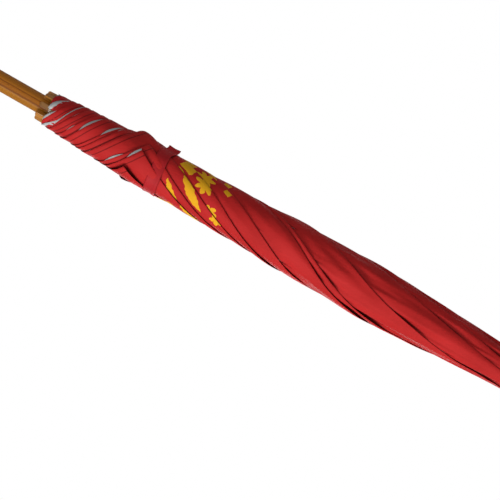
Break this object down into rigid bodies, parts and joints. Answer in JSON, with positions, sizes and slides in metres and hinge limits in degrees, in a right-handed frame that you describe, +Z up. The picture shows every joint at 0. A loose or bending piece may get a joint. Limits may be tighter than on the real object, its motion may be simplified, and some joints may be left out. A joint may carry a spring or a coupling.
{
  "type": "oil paper umbrella",
  "caption": "Furled wooden parasol: a round pole, ribs folded down on stretchers and a runner, and a red coated canopy wrapped round them under a tie strap.",
  "frame": {"origin": "centre of the pole's foot", "axes": "+Z up along the pole towards the finial; +X towards rib 1"},
  "size_m": [0.113, 0.11, 2.3811],
  "materials": {
    "pole_wood": "varnished pole",
    "hub_wood": "varnished hardwood",
    "rib_wood": "oiled hardwood",
    "brass": "plain brass",
    "steel": "plain steel",
    "plastic": "black plastic",
    "red_cloth": "coated cloth, red outside, silver inside"
  },
  "bodies": {
    "pole": {"lower_pole": "pole_wood", "upper_pole": "pole_wood", "foot_plug": "plastic", "joint_sleeve": "brass", "joint_screw": "steel", "crown_hub": "hub_wood", "crown_pins": "steel", "crown_patch": "red_cloth", "crown_washer": "brass", "finial_stud": "steel", "finial": "hub_wood", "tie_strap": "red_cloth", "strap_button": "brass"},
    "runner": {"runner": "hub_wood"},
    "lock_pin": {"lock_pin": "brass"},
    "rib_1": {"rib_1": "rib_wood", "bracket_1": "brass"},
    "stretcher_1": {"stretcher_1": "rib_wood", "trunnion_1": "steel"},
    "gore_1": {"gore_1": "red_cloth"},
    "rib_2": {"rib_2": "rib_wood", "bracket_2": "brass"},
    "stretcher_2": {"stretcher_2": "rib_wood", "trunnion_2": "steel"},
    "gore_2": {"gore_2": "red_cloth"},
    "rib_3": {"rib_3": "rib_wood", "bracket_3": "brass"},
    "stretcher_3": {"stretcher_3": "rib_wood", "trunnion_3": "steel"},
    "gore_3": {"gore_3": "red_cloth"},
    "rib_4": {"rib_4": "rib_wood", "bracket_4": "brass"},
    "stretcher_4": {"stretcher_4": "rib_wood", "trunnion_4": "steel"},
    "gore_4": {"gore_4": "red_cloth"},
    "rib_5": {"rib_5": "rib_wood", "bracket_5": "brass"},
    "stretcher_5": {"stretcher_5": "rib_wood", "trunnion_5": "steel"},
    "gore_5": {"gore_5": "red_cloth"},
    "rib_6": {"rib_6": "rib_wood", "bracket_6": "brass"},
    "stretcher_6": {"stretcher_6": "rib_wood", "trunnion_6": "steel"},
    "gore_6": {"gore_6": "red_cloth"},
    "rib_7": {"rib_7": "rib_wood", "bracket_7": "brass"},
    "stretcher_7": {"stretcher_7": "rib_wood", "trunnion_7": "steel"},
    "gore_7": {"gore_7": "red_cloth"},
    "rib_8": {"rib_8": "rib_wood", "bracket_8": "brass"},
    "stretcher_8": {"stretcher_8": "rib_wood", "trunnion_8": "steel"},
    "gore_8": {"gore_8": "red_cloth"}
  },
  "joints": [
    {"name": "rib_1_hinge", "type": "hinge", "parent": "pole", "child": "rib_1", "pos_m": [0.026, 0, 2.3], "axis": [0, -1, 0], "range_deg": [0, 70], "deforming": ["gore_1", "gore_2", "gore_3", "gore_4", "gore_5", "gore_6", "gore_7", "gore_8", "tie_strap"]},
    {"name": "stretcher_1_hinge", "type": "hinge", "parent": "rib_1", "child": "stretcher_1", "pos_m": [0.034, 0, 1.88508], "axis": [0, 1, 0], "range_deg": [0, 140]},
    {"name": "gore_1_spread", "type": "hinge", "parent": "rib_1", "child": "gore_1", "pos_m": [0.01711, 0, 2.32443], "axis": [0.9397, 0, 0.342], "range_deg": [0, 45]},
    {"name": "rib_2_hinge", "type": "hinge", "parent": "pole", "child": "rib_2", "pos_m": [0.01838, 0.01838, 2.3], "axis": [0.7071, -0.7071, 0], "range_deg": [0, 70]},
    {"name": "stretcher_2_hinge", "type": "hinge", "parent": "rib_2", "child": "stretcher_2", "pos_m": [0.02404, 0.02404, 1.88508], "axis": [-0.7071, 0.7071, 0], "range_deg": [0, 140]},
    {"name": "gore_2_spread", "type": "hinge", "parent": "rib_2", "child": "gore_2", "pos_m": [0.0121, 0.0121, 2.32443], "axis": [0.6645, 0.6645, 0.342], "range_deg": [0, 45]},
    {"name": "rib_3_hinge", "type": "hinge", "parent": "pole", "child": "rib_3", "pos_m": [0, 0.026, 2.3], "axis": [1, 0, 0], "range_deg": [0, 70]},
    {"name": "stretcher_3_hinge", "type": "hinge", "parent": "rib_3", "child": "stretcher_3", "pos_m": [0, 0.034, 1.88508], "axis": [-1, 0, 0], "range_deg": [0, 140]},
    {"name": "gore_3_spread", "type": "hinge", "parent": "rib_3", "child": "gore_3", "pos_m": [0, 0.01711, 2.32443], "axis": [0, 0.9397, 0.342], "range_deg": [0, 45]},
    {"name": "rib_4_hinge", "type": "hinge", "parent": "pole", "child": "rib_4", "pos_m": [-0.01838, 0.01838, 2.3], "axis": [0.7071, 0.7071, 0], "range_deg": [0, 70]},
    {"name": "stretcher_4_hinge", "type": "hinge", "parent": "rib_4", "child": "stretcher_4", "pos_m": [-0.02404, 0.02404, 1.88508], "axis": [-0.7071, -0.7071, 0], "range_deg": [0, 140]},
    {"name": "gore_4_spread", "type": "hinge", "parent": "rib_4", "child": "gore_4", "pos_m": [-0.0121, 0.0121, 2.32443], "axis": [-0.6645, 0.6645, 0.342], "range_deg": [0, 45]},
    {"name": "rib_5_hinge", "type": "hinge", "parent": "pole", "child": "rib_5", "pos_m": [-0.026, 0, 2.3], "axis": [0, 1, 0], "range_deg": [0, 70]},
    {"name": "stretcher_5_hinge", "type": "hinge", "parent": "rib_5", "child": "stretcher_5", "pos_m": [-0.034, 0, 1.88508], "axis": [0, -1, 0], "range_deg": [0, 140]},
    {"name": "gore_5_spread", "type": "hinge", "parent": "rib_5", "child": "gore_5", "pos_m": [-0.01711, 0, 2.32443], "axis": [-0.9397, 0, 0.342], "range_deg": [0, 45]},
    {"name": "rib_6_hinge", "type": "hinge", "parent": "pole", "child": "rib_6", "pos_m": [-0.01838, -0.01838, 2.3], "axis": [-0.7071, 0.7071, 0], "range_deg": [0, 70]},
    {"name": "stretcher_6_hinge", "type": "hinge", "parent": "rib_6", "child": "stretcher_6", "pos_m": [-0.02404, -0.02404, 1.88508], "axis": [0.7071, -0.7071, 0], "range_deg": [0, 140]},
    {"name": "gore_6_spread", "type": "hinge", "parent": "rib_6", "child": "gore_6", "pos_m": [-0.0121, -0.0121, 2.32443], "axis": [-0.6645, -0.6645, 0.342], "range_deg": [0, 45]},
    {"name": "rib_7_hinge", "type": "hinge", "parent": "pole", "child": "rib_7", "pos_m": [0, -0.026, 2.3], "axis": [-1, 0, 0], "range_deg": [0, 70]},
    {"name": "stretcher_7_hinge", "type": "hinge", "parent": "rib_7", "child": "stretcher_7", "pos_m": [0, -0.034, 1.88508], "axis": [1, 0, 0], "range_deg": [0, 140]},
    {"name": "gore_7_spread", "type": "hinge", "parent": "rib_7", "child": "gore_7", "pos_m": [0, -0.01711, 2.32443], "axis": [0, -0.9397, 0.342], "range_deg": [0, 45]},
    {"name": "rib_8_hinge", "type": "hinge", "parent": "pole", "child": "rib_8", "pos_m": [0.01838, -0.01838, 2.3], "axis": [-0.7071, -0.7071, 0], "range_deg": [0, 70]},
    {"name": "stretcher_8_hinge", "type": "hinge", "parent": "rib_8", "child": "stretcher_8", "pos_m": [0.02404, -0.02404, 1.88508], "axis": [0.7071, 0.7071, 0], "range_deg": [0, 140]},
    {"name": "gore_8_spread", "type": "hinge", "parent": "rib_8", "child": "gore_8", "pos_m": [0.0121, -0.0121, 2.32443], "axis": [0.6645, -0.6645, 0.342], "range_deg": [0, 45]},
    {"name": "runner_slide", "type": "slide", "parent": "pole", "child": "runner", "axis": [0, 0, 1], "range_m": [0, 0.5611]},
    {"name": "lock_pin_slide", "type": "slide", "parent": "pole", "child": "lock_pin", "axis": [0.9239, 0.3827, 0], "range_m": [0, 0.08], "deforming": ["gore_1"]}
  ],
  "couplings": [
    {"joint": "stretcher_1_hinge", "follows": "rib_1_hinge", "ratio": 2},
    {"joint": "gore_1_spread", "follows": "rib_1_hinge", "ratio": 0.64286},
    {"joint": "rib_2_hinge", "follows": "rib_1_hinge", "ratio": 1},
    {"joint": "stretcher_2_hinge", "follows": "rib_1_hinge", "ratio": 2},
    {"joint": "gore_2_spread", "follows": "rib_1_hinge", "ratio": 0.64286},
    {"joint": "rib_3_hinge", "follows": "rib_1_hinge", "ratio": 1},
    {"joint": "stretcher_3_hinge", "follows": "rib_1_hinge", "ratio": 2},
    {"joint": "gore_3_spread", "follows": "rib_1_hinge", "ratio": 0.64286},
    {"joint": "rib_4_hinge", "follows": "rib_1_hinge", "ratio": 1},
    {"joint": "stretcher_4_hinge", "follows": "rib_1_hinge", "ratio": 2},
    {"joint": "gore_4_spread", "follows": "rib_1_hinge", "ratio": 0.64286},
    {"joint": "rib_5_hinge", "follows": "rib_1_hinge", "ratio": 1},
    {"joint": "stretcher_5_hinge", "follows": "rib_1_hinge", "ratio": 2},
    {"joint": "gore_5_spread", "follows": "rib_1_hinge", "ratio": 0.64286},
    {"joint": "rib_6_hinge", "follows": "rib_1_hinge", "ratio": 1},
    {"joint": "stretcher_6_hinge", "follows": "rib_1_hinge", "ratio": 2},
    {"joint": "gore_6_spread", "follows": "rib_1_hinge", "ratio": 0.64286},
    {"joint": "rib_7_hinge", "follows": "rib_1_hinge", "ratio": 1},
    {"joint": "stretcher_7_hinge", "follows": "rib_1_hinge", "ratio": 2},
    {"joint": "gore_7_spread", "follows": "rib_1_hinge", "ratio": 0.64286},
    {"joint": "rib_8_hinge", "follows": "rib_1_hinge", "ratio": 1},
    {"joint": "stretcher_8_hinge", "follows": "rib_1_hinge", "ratio": 2},
    {"joint": "gore_8_spread", "follows": "rib_1_hinge", "ratio": 0.64286},
    {"joint": "runner_slide", "follows": "rib_1_hinge", "m_per_rad": 0.45923}
  ]
}
